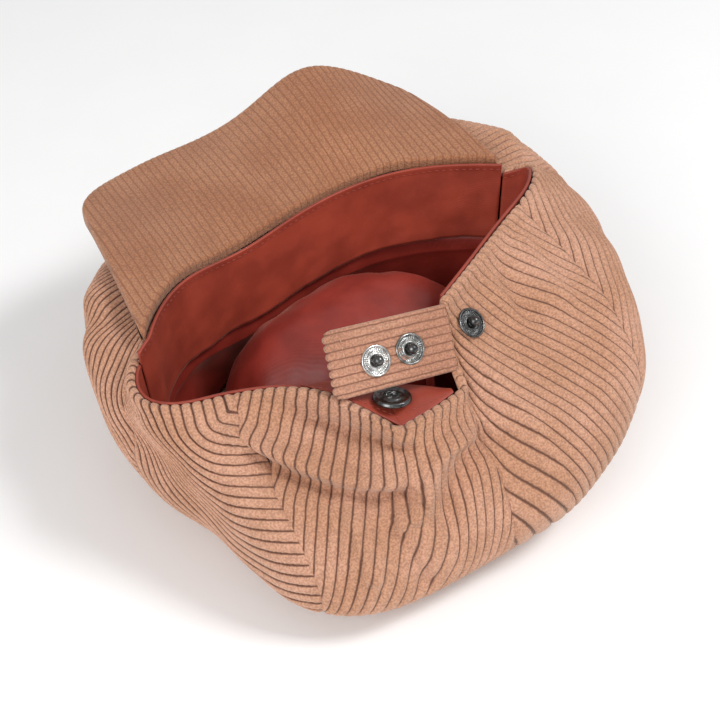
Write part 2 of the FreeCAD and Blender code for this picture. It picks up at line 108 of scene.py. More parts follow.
# ---- Small helpers ----------------------------------------------------------------------------
def unit(v):
    v = np.asarray(v, float)
    return v / np.maximum(np.linalg.norm(v, axis=-1, keepdims=True), 1e-9)


def mix(a, b, t):
    return np.asarray(a, float) * (1 - t) + np.asarray(b, float) * t


def polar(angle_deg, radius, z):
    a = np.radians(angle_deg)
    return np.stack(np.broadcast_arrays(radius * np.cos(a), radius * np.sin(a), z), -1)


def bump(value, centre, width):
    """A smooth hill of height 1 around the cap, centred on an angle."""
    d = (value - centre + 180) % 360 - 180
    return np.exp(-(d / width) ** 2)


def hermite(a, b, ta, tb, t):
    t2, t3 = t * t, t * t * t
    return a * (2 * t3 - 3 * t2 + 1) + ta * (t3 - 2 * t2 + t) + b * (3 * t2 - 2 * t3) + tb * (t3 - t2)


def arc_lengths(points):
    steps = np.linalg.norm(np.diff(points, axis=0), axis=1)
    return np.concatenate([[0.0], np.cumsum(steps)])


def resample(points, count):
    run = arc_lengths(points)
    at = np.linspace(0, run[-1], count)
    return np.stack([np.interp(at, run, points[:, k]) for k in range(points.shape[1])], 1)


def smooth_line(points, count):
    """Cubic spline through points, in equal steps."""
    points = np.array(points, float)
    knots = arc_lengths(points)
    gaps = np.diff(knots)
    n = len(points)
    system, right = np.eye(n), np.zeros_like(points)
    for i in range(1, n - 1):
        system[i, i - 1:i + 2] = gaps[i - 1], 2 * (gaps[i - 1] + gaps[i]), gaps[i]
        slope_after = (points[i + 1] - points[i]) / gaps[i]
        slope_before = (points[i] - points[i - 1]) / gaps[i - 1]
        right[i] = 6 * (slope_after - slope_before)
    bend = np.linalg.solve(system, right)
    at = np.linspace(0, knots[-1], 400)
    i = np.clip(np.searchsorted(knots, at) - 1, 0, n - 2)
    g = gaps[i][:, None]
    a, b = (knots[i + 1] - at)[:, None], (at - knots[i])[:, None]
    line = (bend[i] * a ** 3 + bend[i + 1] * b ** 3) / (6 * g)
    line += (points[i] / g - bend[i] * g / 6) * a + (points[i + 1] / g - bend[i + 1] * g / 6) * b
    return resample(line, count)


def upsample_matrix(fine, coarse):
    """Catmull-Rom weights that carry a row of coarse samples to a row of fine ones."""
    weights = np.zeros((fine, coarse))
    for row, x in enumerate(np.linspace(0, coarse - 1, fine)):
        i = min(int(x), coarse - 2)
        t = x - i
        kernel = (-0.5 * t + t * t - 0.5 * t ** 3, 1 - 2.5 * t * t + 1.5 * t ** 3,
                  0.5 * t + 2 * t * t - 1.5 * t ** 3, -0.5 * t * t + 0.5 * t ** 3)
        for k, w in zip(range(i - 1, i + 3), kernel):
            if 0 <= k < coarse:
                weights[row, k] += w
            else:                                   # straight on past the border
                edge, inner = (0, 1) if k < 0 else (coarse - 1, coarse - 2)
                weights[row, edge] += 2 * w
                weights[row, inner] -= w
    return weights


def upsample(grid, nu, nv):
    return np.einsum("ai,ijk,bj->abk", upsample_matrix(nu, grid.shape[0]), grid,
                     upsample_matrix(nv, grid.shape[1]))


def grid_normals(grid):
    """Unit normals of a grid whose first index runs round the cap and second away from the edge."""
    du = np.gradient(grid, axis=0)
    dv = np.gradient(grid, axis=1)
    return unit(np.cross(dv, du))


# ---- Meshes -----------------------------------------------------------------------------------
def make_object(name, points, faces, uv=None):
    """Mesh object from points in millimetres about the crown's axis; uv is one pair per point."""
    mesh = bpy.data.meshes.new(name)
    mesh.from_pydata((np.asarray(points) * MM + CROWN_AXIS).tolist(), [], faces)
    if uv is not None:
        layer = mesh.uv_layers.new(name="cloth")
        index = np.empty(len(mesh.loops), np.int32)
        mesh.loops.foreach_get("vertex_index", index)
        layer.data.foreach_set("uv", np.asarray(uv)[index].astype(np.float32).ravel())
    mesh.shade_smooth()
    mesh.validate()
    thing = bpy.data.objects.new(name, mesh)
    bpy.context.scene.collection.objects.link(thing)
    return thing


def grid_faces(nu, nv, start=0, flip=False):
    i, j = np.meshgrid(np.arange(nu - 1), np.arange(nv - 1), indexing="ij")
    a = start + i * nv + j
    quads = np.stack([a, a + 1, a + nv + 1, a + nv], -1).reshape(-1, 4)
    return (quads[:, ::-1] if flip else quads).tolist()


def closed_cloth(name, outer, inner, outer_uv, ratio):
    """Closed piece of cloth: a fine outer grid, and an inner grid coarser by a whole ratio.

    The outer grid may have extra rows before its first, rolled over the edge: the hem."""
    nu, nv = outer.shape[:2]
    mu, mv = inner.shape[:2]
    base = nu * nv
    faces = grid_faces(nu, nv) + grid_faces(mu, mv, base, flip=True)

    def border(count_u, count_v, start):
        return [[start + j for j in range(count_v)],
                [start + i * count_v + count_v - 1 for i in range(count_u)],
                [start + (count_u - 1) * count_v + j for j in range(count_v - 1, -1, -1)],
                [start + i * count_v for i in range(count_u - 1, -1, -1)]]

    hem = nv - 1 - (mv - 1) * ratio                 # the outer grid's extra rows
    for side, (fine, coarse) in enumerate(zip(border(nu, nv, 0), border(mu, mv, base))):
        if side == 0 and hem:                       # the rolled hem's two ends are capped
            faces.append([*fine[:hem + 1][::-1], coarse[0]])
            fine = fine[hem:]
        if side == 2 and hem:
            faces.append([*fine[-hem - 1:][::-1], coarse[-1]])
            fine = fine[:len(fine) - hem]
        for k in range(len(coarse) - 1):
            chunk = fine[k * ratio:(k + 1) * ratio + 1]
            faces.append(chunk[::-1] + [coarse[k], coarse[k + 1]])
    points = np.concatenate([outer.reshape(-1, 3), inner.reshape(-1, 3)])
    inner_uv = outer_uv[::ratio, hem::ratio].reshape(-1, 2)
    uv = np.concatenate([outer_uv.reshape(-1, 2), inner_uv])
    return make_object(name, points, faces, uv)


# ---- Opening edge and crown, the same shape as the CAD panels --------------------------------
def peak_seam(u):
    """Seam between crown and peak, from its right end (u = -1) to its left end (u = 1)."""
    u = np.asarray(u, float)
    p = mix(PEAK_RIGHT, PEAK_LEFT, ((u + 1) / 2)[..., None])
    p[..., 1] -= PEAK_SAG * (1 - np.abs(u) ** (3.3 + 0.8 * u))
    p[..., 2] -= PEAK_DIP * np.exp(-((u - 0.35) / 0.3) ** 2)
    return p


slit_right = smooth_line([NOTCH, TAB_FOOT, TAB_TOP], 12)
right_edge = smooth_line([TAB_TOP] + RIGHT_EDGE[::-1] + [PEAK_RIGHT], 40)
left_edge = smooth_line([PEAK_LEFT] + LEFT_EDGE[::-1] + [FLAP_TIP], 50)
slit_left = smooth_line([FLAP_TIP, mix(FLAP_TIP, NOTCH, 0.5) + (0, 1.5, 1), NOTCH], 12)
LOOP = np.concatenate([slit_right, right_edge[1:], peak_seam(np.linspace(-1, 1, 61))[1:],
                       left_edge[1:], slit_left[1:]])
LOOP_RUN = arc_lengths(LOOP)
TAB_RUN = arc_lengths(slit_right)[-1]
TIP_RUN = LOOP_RUN[-1] - arc_lengths(slit_left)[-1]


def loop_point(run):
    return np.stack([np.interp(run, LOOP_RUN, LOOP[:, k]) for k in range(3)], -1)


def loop_inward(run):
    along = loop_point(np.asarray(run) + 2.0) - loop_point(np.asarray(run) - 2.0)
    return unit(np.cross(UP, along))


def run_at_angle(angle):
    """Length along the opening's edge at an angle about the crown's axis."""
    angles = np.degrees(np.arctan2(LOOP[:, 1], LOOP[:, 0]))
    angles = np.where(angles < EDGE_SEAMS[0] - 1, angles + 360, angles)
    return LOOP_RUN[1 + np.argmin(np.abs(angles[1:-1] - angle))]


SEAM_RUNS = [0.0] + [run_at_angle(a) for a in EDGE_SEAMS[1:-1]] + [LOOP_RUN[-1]]
FLAP_RUN = run_at_angle(FLAP_ANGLE)


def fullest_point(angle):
    """Where the crown is widest, as it slumps on the table."""
    radius = CROWN_RADIUS + sum(height * bump(angle, *place) for height, *place in RADIUS_BULGES)
    z = FULLEST_HEIGHT - FULLEST_TILT * np.cos(np.radians(angle - LOW_SIDE))
    z = z + sum(height * bump(angle, *place) for height, *place in HEIGHT_BULGES)
    return polar(angle, radius, z)


def crown_wall(run, angle, v):
    """Outer surface of the crown's wall, from the opening edge (v = 0) to the flat bottom (v = 1)."""
    edge, full, floor = loop_point(run), fullest_point(angle), polar(angle, FLOOR_RADIUS, 0)
    outward = polar(angle, 1, 0)
    reach = np.linalg.norm(full - edge, axis=-1, keepdims=True)
    rounded = (full - edge) * 0.8 + outward * (0.45 * reach)
    steep = (full - edge) * 0.5 - UP * (0.45 * reach)
    steepness = np.minimum(bump(angle, 108, 18) + bump(angle, 66, 17), 1)[..., None]
    t = v[..., None]
    upper = hermite(edge, full, mix(rounded, steep, steepness), -0.95 * UP * reach, np.minimum(t * 2, 1))
    lower = hermite(full, floor, -1.6 * UP * full[..., 2:],
                    -0.9 * outward * np.linalg.norm(full - floor, axis=-1, keepdims=True),
                    np.maximum(t * 2 - 1, 0))
    return np.where(t < 0.5, upper, lower)


# ---- Camera -----------------------------------------------------------------------------------
CAMERA_AZIMUTH, CAMERA_ELEVATION = 30, 42     # round from +Y towards +X, and up
CAMERA_DISTANCE = 640
CAMERA_AIM = (0, 0, 45)
CAMERA_LENS = 67.7


def make_camera():
    a, e = math.radians(CAMERA_AZIMUTH), math.radians(CAMERA_ELEVATION)
    back = np.array([math.sin(a) * math.cos(e), math.cos(a) * math.cos(e), math.sin(e)])
    place = (np.array(CAMERA_AIM) + CAMERA_DISTANCE * back) * MM + CROWN_AXIS
    data = bpy.data.cameras.new("camera")
    data.lens = CAMERA_LENS
    data.sensor_width = 36
    data.clip_end = 20
    camera = bpy.data.objects.new("camera", data)
    camera.location = place
    camera.rotation_euler = (math.pi / 2 - e, 0, math.pi - a)
    bpy.context.scene.collection.objects.link(camera)
    bpy.context.scene.camera = camera


make_camera()


# ---- Materials --------------------------------------------------------------------------------
class Shader:
    """A principled material whose nodes are added by short calls."""

    def __init__(self, name, **inputs):
        self.material = bpy.data.materials.new(name)
        self.material.use_nodes = True
        self.tree = self.material.node_tree
        self.surface = self.tree.nodes["Principled BSDF"]
        for key, value in inputs.items():
            self.surface.inputs[key.replace("_", " ")].default_value = value

    def node(self, kind, settings=(), **inputs):
        """Adds a node; inputs are values or other nodes' outputs, by socket name or _index."""
        node = self.tree.nodes.new("ShaderNode" + kind)
        for key, value in dict(settings).items():
            setattr(node, key, value)
        for key, value in inputs.items():
            socket = node.inputs[int(key[1:])] if key[0] == "_" else node.inputs[key.replace("_", " ")]
            if isinstance(value, bpy.types.NodeSocket):
                self.tree.links.new(value, socket)
            else:
                socket.default_value = value
        return node

    def math(self, operation, a, b=0.0, clamp=False):
        settings = {"operation": operation, "use_clamp": clamp}
        return self.node("Math", settings, _0=a, _1=b).outputs[0]

    def noise(self, scale, detail=3.0, vector=None):
        """Noise whose features are about one over the scale in millimetres."""
        if vector is None:
            vector = self.node("TexCoord").outputs["Object"]
        noise = self.node("TexNoise", Vector=vector, Scale=scale / MM, Detail=detail)
        return noise.outputs["Fac"]

    def ramp(self, value, low, high):
        """0 below low, 1 above high, smooth between."""
        settings = {"interpolation_type": "SMOOTHSTEP"}
        return self.node("MapRange", settings, Value=value, From_Min=low, From_Max=high).outputs[0]

    def blend(self, factor, a, b, kind="MIX"):
        settings = {"data_type": "RGBA", "blend_type": kind}
        mixer = self.node("Mix", settings)
        for socket, value in zip((mixer.inputs[0], mixer.inputs[6], mixer.inputs[7]), (factor, a, b)):
            if isinstance(value, bpy.types.NodeSocket):
                self.tree.links.new(value, socket)
            elif isinstance(value, tuple):
                socket.default_value = (*value, 1.0)
            else:
                socket.default_value = value
        return mixer.outputs[2]

    def bump(self, height, distance, strength=1.0):
        """Bump from a height; distance in millimetres."""
        bump = self.node("Bump", Height=height, Distance=distance * MM, Strength=strength)
        self.tree.links.new(bump.outputs[0], self.surface.inputs["Normal"])

    def set(self, name, value):
        self.tree.links.new(value, self.surface.inputs[name])


def corduroy_material(name, pile, groove_shade, worn, pitch):
    """Cut pile in wales: painted shade on the ground between them, soft speckle, worn paler tops, sheen.
    """
    shader = Shader(name, Roughness=0.92, Sheen_Weight=0.35, Sheen_Roughness=0.45,
                    Sheen_Tint=(1.0, 0.86, 0.74, 1.0))
    across = shader.node("SeparateXYZ", Vector=shader.node("UVMap").outputs[0]).outputs[0]
    wobble = shader.math("MULTIPLY", shader.noise(0.35, 2.0), 0.5)
    turns = shader.math("FRACT", shader.math("DIVIDE", shader.math("ADD", across, wobble), pitch))
    off_top = shader.math("ABSOLUTE", shader.math("SUBTRACT", shader.math("MULTIPLY", turns, 2.0), 1.0))
    fibres = shader.noise(1.1, 4.0)
    patches = shader.noise(0.035, 3.0)
    # painted shade mask: 0 on the wale tops, 1 down in the grooves between them
    groove_shade_mask = shader.ramp(off_top, 0.70, 0.97)
    colour = shader.blend(shader.ramp(patches, 0.35, 0.7), pile, worn)
    speckle = shader.blend(shader.ramp(fibres, 0.36, 0.64), (0.30, 0.24, 0.20), (1.12, 1.1, 1.08))
    colour = shader.blend(0.42, colour, speckle, "MULTIPLY")
    # the grooves get the painted shade colour
    shader.set("Base Color", shader.blend(groove_shade_mask, colour, groove_shade))
    tufts = shader.math("MULTIPLY", shader.noise(0.7, 2.0), 0.6)
    shader.bump(shader.math("ADD", fibres, tufts), 0.6, 0.9)
    return shader.material


def satin_material(name, colour, deep, roughness):
    """Woven satin: fine twill, a silky lobe of light, faint mottling."""
    shader = Shader(name, Roughness=roughness, Sheen_Weight=0.14, Sheen_Roughness=0.3,
                    Sheen_Tint=(1.0, 0.55, 0.45, 1.0))
    place = shader.node("TexCoord").outputs["Object"]
    twill = shader.node("TexWave", {"wave_type": "BANDS", "bands_direction": "DIAGONAL"},
                        Vector=place, Scale=0.55 / MM, Distortion=0.6, Detail=1.0).outputs["Fac"]
    mottle = shader.noise(0.05, 4.0)
    tone = shader.blend(shader.ramp(mottle, 0.3, 0.72), deep, colour)
    weave = shader.blend(twill, (0.4, 0.4, 0.4), (1.0, 1.0, 1.0))
    shader.set("Base Color", shader.blend(0.12, tone, weave, "MULTIPLY"))
    dulled = shader.math("MULTIPLY", mottle, 0.16)
    shader.set("Roughness", shader.math("ADD", dulled, roughness - 0.08))
    creases = shader.noise(0.16, 3.0)
    shader.bump(shader.math("ADD", shader.math("MULTIPLY", twill, 0.12), creases), 0.35, 0.5)
    return shader.material


def metal_material(name, bright, dark, roughness):
    """Plated metal: tarnish in patches, rougher where tarnished, fine scratches."""
    shader = Shader(name, Metallic=1.0)
    tarnish = shader.ramp(shader.noise(0.45, 4.0), 0.35, 0.7)
    scratches = shader.noise(3.0, 5.0)
    shader.set("Base Color", shader.blend(tarnish, bright, dark))
    shader.set("Roughness", shader.math("ADD", shader.math("MULTIPLY", tarnish, 0.18), roughness))
    shader.bump(scratches, 0.04, 0.5)
    return shader.material


def board_material():
    """Stiff pressed board of the peak."""
    shader = Shader("pressed_board", Roughness=0.85)
    fibres = shader.noise(0.8, 4.0)
    shader.set("Base Color", shader.blend(fibres, (0.16, 0.12, 0.08), (0.34, 0.28, 0.2)))
    shader.bump(fibres, 0.15, 0.5)
    return shader.material


def thread_material(name, colour, dark):
    """Twisted sewing thread."""
    shader = Shader(name, Roughness=0.6, Sheen_Weight=0.2)
    twist = shader.noise(2.5, 2.0)
    shader.set("Base Color", shader.blend(twist, dark, colour))
    shader.bump(twist, 0.1, 0.6)
    return shader.material


# The second colour of each corduroy is painted shade for the grooves between the wales.
CORDUROY = corduroy_material("corduroy", (0.53, 0.268, 0.160), (0.125, 0.050, 0.029),
                             (0.62, 0.335, 0.225), WALE_PITCH)
TAB_CORDUROY = corduroy_material("corduroy_tab", (0.47, 0.222, 0.138), (0.23, 0.10, 0.06),
                                 (0.54, 0.27, 0.175), FINE_PITCH)
PEAK_CORDUROY = corduroy_material("corduroy_peak", (0.38, 0.155, 0.075), (0.26, 0.098, 0.047),
                                  (0.44, 0.195, 0.10), FINE_PITCH)
SATIN = satin_material("satin_lining", (0.31, 0.034, 0.022), (0.21, 0.021, 0.014), 0.42)
BAND_SATIN = satin_material("satin_band", (0.40, 0.060, 0.031), (0.28, 0.040, 0.022), 0.5)
BRIGHT_METAL = metal_material("nickel", (0.78, 0.77, 0.75), (0.36, 0.35, 0.34), 0.2)
DARK_METAL = metal_material("gunmetal", (0.16, 0.16, 0.16), (0.05, 0.05, 0.05), 0.22)
# The inner tab stud's metal: the same nickel with darker colours.
DARKER_METAL = metal_material("darker_nickel", (0.42, 0.42, 0.41), (0.16, 0.16, 0.15), 0.24)
BOARD = board_material()
TAN_THREAD = thread_material("tan_thread", (0.62, 0.40, 0.26), (0.42, 0.24, 0.15))
RED_THREAD = thread_material("red_thread", (0.40, 0.07, 0.045), (0.22, 0.03, 0.02))


# ---- Pieces -----------------------------------------------------------------------------------
def finish_piece(thing, material, replaced=(), body="cap"):
    """Gives a piece its material, puts it under its body's empty and hides the CAD nodes it replaces;
    body is None for one left without a body.
    """
    thing.data.materials.append(material)
    if body:
        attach(thing, body)
    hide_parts(*replaced)


def ripple(points, wavelength, seed):
    """Smooth deterministic unevenness of about unit size."""
    rng = np.random.default_rng(seed)
    total = 0.0
    for _ in range(7):
        direction = unit(rng.normal(size=3))
        scale = 2 * math.pi / (wavelength * rng.uniform(0.7, 1.6))
        total = total + np.sin(points @ direction * scale + rng.uniform(0, 2 * math.pi))
    return total / 2.6


def flat_coordinates(grid):
    """Arc lengths across from the middle column and along from the first row, in millimetres."""
    across = np.zeros(grid.shape[:2])
    along = np.zeros(grid.shape[:2])
    across[1:] = np.cumsum(np.linalg.norm(np.diff(grid, axis=0), axis=-1), axis=0)
    across -= across[grid.shape[0] // 2]
    along[:, 1:] = np.cumsum(np.linalg.norm(np.diff(grid, axis=1), axis=-1), axis=1)
    return np.stack([across, along], -1)


# ---- Crown panels -----------------------------------------------------------------------------
COARSE_COLUMNS, WALL_ROWS, FLOOR_ROWS = 25, 45, 14
COLUMN_SPLIT, ROW_SPLIT, INNER_RATIO = 8, 6, 4
HEM_DEPTH = 6.0                  # the turned-in hem inside the opening
HEM_START = 0.003                # the rolled edge begins this far down the wall
HEM_STEP, ROLL_ROWS = 0.8, 10    # mesh rows of the hem, and of the roll above it
RIM_RADIUS, RIM_PROUD, RIM_FADE = 1.6, 0.8, 4
RIM_SWELL, SWELL_FADE = 0.35, 3  # the wales stand higher over the roll, by this share
INNER_GAP = 0.4                  # between the pile's ground and the cloth's back
FLAP_ROLL, FLAP_ROLL_AT = 1.8, (438, 13)         # how much fatter the flap's rolled edge is, and where
SEAM_WIDTH, SEAM_DEPTH = 1.2, 0.4
CROWN_MIDDLE = (0, 0, 20)
GRAIN = {"back_right": 20, "right": -45, "front_right": -20, "front_centre_right": 0,
         "front_centre_left": 0, "front_left": 50, "left": 75, "back_left": -22}
ARC_INSET, ARC_DEPTH = 3, 5.0    # middle of the left panel's arcs: from its seam, and below the edge
EDGE_TURN = 0.2                  # radians that its wales lean where they meet the edge

# Folds of the soft crown: path of (angle, wall height) places, half width and height in millimetres.
FOLDS = [
    ([(411, 0.08), (414, 0.10), (418, 0.14), (422, 0.17), (427, 0.19), (435, 0.175)], 4.2, 6.0),
    ([(412, 0.15), (417, 0.20), (422, 0.23), (428, 0.245), (436, 0.23)], 4.2, -7.0),
    ([(421, 0.05), (426, 0.07), (430, 0.078), (435, 0.07), (441, 0.06)], 3.0, -4.6),
    ([(452, 0.12), (447, 0.11), (444, 0.13), (442, 0.16), (438, 0.24), (432, 0.29)], 3.6, 4.8),
    ([(457, 0.16), (451, 0.17), (446, 0.22), (442, 0.29)], 5.5, -5.2),
    ([(424, 0.24), (424, 0.31), (424, 0.41)], 3.6, 4.0),
    ([(430, 0.29), (431, 0.38), (433, 0.47)], 5.5, -4.0),
    ([(418, 0.27), (418, 0.36), (418, 0.44)], 5.5, -2.6),
    ([(124, 0.02), (124, 0.08), (123, 0.15)], 5.5, -3.4),
    ([(131, 0.04), (130, 0.10), (129, 0.17)], 6.0, 2.4),
    ([(100, 0.20), (112, 0.30), (126, 0.36)], 9.0, 1.8),
    ([(384, 0.22), (372, 0.34), (362, 0.44)], 9.0, -2.2),
    ([(378, 0.12), (366, 0.20), (354, 0.30)], 8.0, 2.0),
    ([(204, 0.41), (199, 0.36), (194, 0.28)], 5.0, -2.6),
    ([(182, 0.10), (176, 0.22), (172, 0.34)], 8.0, 2.0),
    ([(250, 0.25), (262, 0.40), (280, 0.46)], 9.0, -2.5),
    ([(300, 0.20), (292, 0.36), (300, 0.52)], 9.0, 2.4),
    ([(330, 0.15), (338, 0.32), (334, 0.48)], 8.0, -2.6),
]


def wall_place(angle, v):
    """Point of the crown's wall at an angle on its widest ring and a share v of its height."""
    run = np.interp(angle, CROWN_SEAMS, SEAM_RUNS)
    return crown_wall(np.asarray(run), np.asarray(float(angle)), np.asarray(float(v)))


def distance_to_path(points, path):
    nearest = np.full(points.shape[:-1], np.inf)
    for a, b in zip(path[:-1], path[1:]):
        along = np.clip(((points - a) @ (b - a)) / ((b - a) @ (b - a)), 0, 1)
        nearest = np.minimum(nearest, np.linalg.norm(points - a - along[..., None] * (b - a), axis=-1))
    return nearest


def panel_grid(k):
    """Coarse grid of panel k: the wall, the flat bottom and the dent by the button, with its folds."""
    u = np.linspace(0, 1, COARSE_COLUMNS)[:, None]
    run = SEAM_RUNS[k] + u * (SEAM_RUNS[k + 1] - SEAM_RUNS[k])
    angle = CROWN_SEAMS[k] + u * (CROWN_SEAMS[k + 1] - CROWN_SEAMS[k])
    v = np.linspace(HEM_START, 1, WALL_ROWS)[None, :]
    wall = crown_wall(run + 0 * v, angle + 0 * v, v + 0 * u)
    radius = np.linspace(FLOOR_RADIUS, BUTTON_HOLE, FLOOR_ROWS + 1)[None, 1:]
    into_dent = np.clip((DENT_RADIUS - radius) / (DENT_RADIUS - BUTTON_HOLE), 0, 1)
    dent = DENT_RISE * into_dent ** 2 * (3 - 2 * into_dent)
    floor = polar(angle + 0 * radius, radius + 0 * u, dent + 0 * u)
    grid = np.concatenate([wall, floor], axis=1)
    settle = np.clip(grid[..., 2] / 25, 0, 1)          # folds die out towards the floor
    push = 0.9 * ripple(grid, 42, seed=3)
    for path, width, height in FOLDS:
        places = smooth_line([wall_place(*p) for p in path], 24)
        push = push + height * np.exp(-(distance_to_path(grid, places) / width) ** 2)
    rim = 1 - np.exp(-(np.arange(grid.shape[1])[None, :] / 2.0) ** 2)
    away = unit(grid - CROWN_MIDDLE)                   # the same on both sides of a seam
    return grid + away * (push * settle * rim)[..., None], flat_coordinates(grid)


def wale_field(name, flat):
    """Millimetres across the wales at flat-cloth coordinates."""
    grain = math.radians(GRAIN[name])
    across = flat[..., 0] * math.cos(grain) - flat[..., 1] * math.sin(grain)
    if name != "left":
        return across
    # On the left panel the wales leave the edge square to it and turn towards the seam in nested arcs.
    left = PANELS.index(name)
    corner = np.array([(SEAM_RUNS[left + 1] - SEAM_RUNS[left]) / 2 - ARC_INSET, ARC_DEPTH])
    to_edge = -np.array([math.sin(EDGE_TURN), math.cos(EDGE_TURN)])
    along_fold = np.array([math.sin(grain), math.cos(grain)])
    from_corner = flat - corner
    from_edge_ray = from_corner @ np.array([-to_edge[1], to_edge[0]])
    from_fold_ray = from_corner @ np.array([-along_fold[1], along_fold[0]])
    before_edge, before_fold = from_corner @ to_edge > 0, from_corner @ along_fold > 0
    far = np.linalg.norm(from_corner, axis=-1)
    outside = np.minimum(np.where(before_edge, np.abs(from_edge_ray), far),
                         np.where(before_fold, np.abs(from_fold_ray), far))
    return -outside


def wale_relief(across, pitch=WALE_PITCH):
    """Height of the pile over the ground between the wales."""
    phase = (across / pitch) % 1.0
    return WALE_HEIGHT * (1 - np.abs(2 * phase - 1) ** 3.2) ** 0.7


def crown_panel(k):
    name = PANELS[k]
    coarse, flat = panel_grid(k)
    nu, nv = (COARSE_COLUMNS - 1) * COLUMN_SPLIT + 1, (coarse.shape[1] - 1) * ROW_SPLIT + 1
    fine = upsample(coarse, nu, nv)
    fine_flat = upsample(flat, nu, nv)
    normals = grid_normals(fine)
    angle = np.linspace(CROWN_SEAMS[k], CROWN_SEAMS[k + 1], nu)
    fatter = (FLAP_ROLL * bump(angle, *FLAP_ROLL_AT))[:, None]
    near_rim = np.exp(-(fine_flat[..., 1] / RIM_FADE) ** 2)
    fine = fine + normals * ((RIM_PROUD + fatter) * near_rim)[..., None]

    across = wale_field(name, fine_flat)
    side = np.minimum(np.abs(fine_flat[..., 0] - fine_flat[:1, :, 0]),
                      np.abs(fine_flat[..., 0] - fine_flat[-1:, :, 0]))
    pinched = np.exp(-(side / SEAM_WIDTH) ** 2)
    swell = 1 + RIM_SWELL * np.exp(-(fine_flat[..., 1] / SWELL_FADE) ** 2)
    lift = (wale_relief(across) * swell - WALE_DEPTH) * (1 - pinched) - SEAM_DEPTH * pinched
    outer = fine + normals * lift[..., None]
    outer[..., 2] = np.maximum(outer[..., 2], 0.02)

    # The edge is rolled over and turned in.
    out = normals[:, 0]
    over = fine[:, 0] - fine[:, 2]
    over = unit(over - out * (over * out).sum(-1, keepdims=True))
    fat = RIM_RADIUS + fatter
    centre = fine[:, 0] - out * RIM_RADIUS
    rows, row_flat = [], []
    for s in np.arange(HEM_DEPTH, HEM_STEP / 2, -HEM_STEP):
        rows.append(centre - out * fat - over * s)
        row_flat.append(-math.pi * RIM_RADIUS - s)
    for a in np.linspace(math.pi, 0, ROLL_ROWS + 1)[:-1]:
        y = -a * RIM_RADIUS
        place = np.stack([fine_flat[:, 0, 0], np.full(nu, y)], -1)
        lifted = (wale_relief(wale_field(name, place)) * swell[:, 0] - WALE_DEPTH) * (1 - pinched[:, 0])
        reach = fat + (lifted * (0.5 + 0.5 * math.cos(a)) ** 0.5)[:, None]
        rows.append(centre + (out * math.cos(a) + over * math.sin(a)) * reach)
        row_flat.append(y)
    hem = np.stack(rows, 1)
    hem_flat = np.stack([np.broadcast_to(fine_flat[:, :1, 0], hem.shape[:2]),
                         np.broadcast_to(np.array(row_flat)[None], hem.shape[:2])], -1)
    whole = np.concatenate([hem, outer], 1)
    whole_flat = np.concatenate([hem_flat, fine_flat], 1)

    # The inner skin is coarser, and starts below the roll.
    inner_rows = (nv - 1) // INNER_RATIO - 2
    start = nv - 1 - (inner_rows - 1) * INNER_RATIO
    inner = (fine - normals * (CLOTH + INNER_GAP))[::INNER_RATIO, start::INNER_RATIO]
    uv = np.stack([wale_field(name, whole_flat), whole_flat[..., 1]], -1)
    thing = closed_cloth("corduroy_" + name, whole, inner, uv, INNER_RATIO)
    finish_piece(thing, CORDUROY, ["crown_panel_" + name])


for panel in range(len(PANELS)):
    crown_panel(panel)


# ---- Sweatband, lining and slit facing --------------------------------------------------------
def loop_angle(points):
    return np.degrees(np.arctan2(points[..., 1], points[..., 0]))


def soft_sheet(name, front, back, material, replaced):
    """Thin closed cloth from its two skins, with the front skin's flat arc lengths as its UVs."""
    flat = flat_coordinates(front)
    thing = closed_cloth(name, front, back, flat, 1)
    finish_piece(thing, material, replaced)


def stitches(name, path, normals, material, body="cap", length=2.3, gap=1.0, radius=0.24):
    """A row of thread stitches lying on a path, each a short flattened capsule."""
    run = arc_lengths(path)
    points, faces = [], []
    sides, rings = 8, 7
    count = int(run[-1] / (length + gap))
    for i in range(count):
        at = (i + 0.5) * run[-1] / count + np.linspace(-0.5, 0.5, rings) * length
        middle = np.stack([np.interp(at, run, path[:, c]) for c in range(3)], -1)
        up = unit(np.stack([np.interp(at, run, normals[:, c]) for c in range(3)], -1))
        along = unit(middle[-1] - middle[0])
        across = unit(np.cross(up, along))
        t = np.linspace(-1, 1, rings)
        swell = np.sqrt(np.maximum(1 - (t * 0.97) ** 4, 0))
        base = len(points)
        for ring in range(rings):
            dip = middle[ring] - up[ring] * (0.25 * t[ring] ** 4)
            for side in range(sides):
                a = 2 * math.pi * side / sides
                spoke = across[ring] * math.cos(a) + up[ring] * math.sin(a)
                points.append(dip + spoke * (radius * swell[ring]))
        for ring in range(rings - 1):
            for side in range(sides):
                a, b = base + ring * sides + side, base + ring * sides + (side + 1) % sides
                faces.append([a, b, b + sides, a + sides])
        faces.append([base + side for side in range(sides)][::-1])
        faces.append([base + (rings - 1) * sides + side for side in range(sides)])
    finish_piece(make_object(name, points, faces), material, body=body)


STITCH_DOWN = 2.6                # topstitching below the sweatband's upper edge
SIDE_BAND_LIFT, PEAK_BAND_LIFT = 0.5, 6.5        # its edge stands this much above the opening's


def band_surface(run, v, lift):
    place = loop_point(run) + loop_inward(run) * (BAND_OUT + BAND_LEAN * v)[..., None]
    return place + UP * (lift - v * BAND_HEIGHT)[..., None]


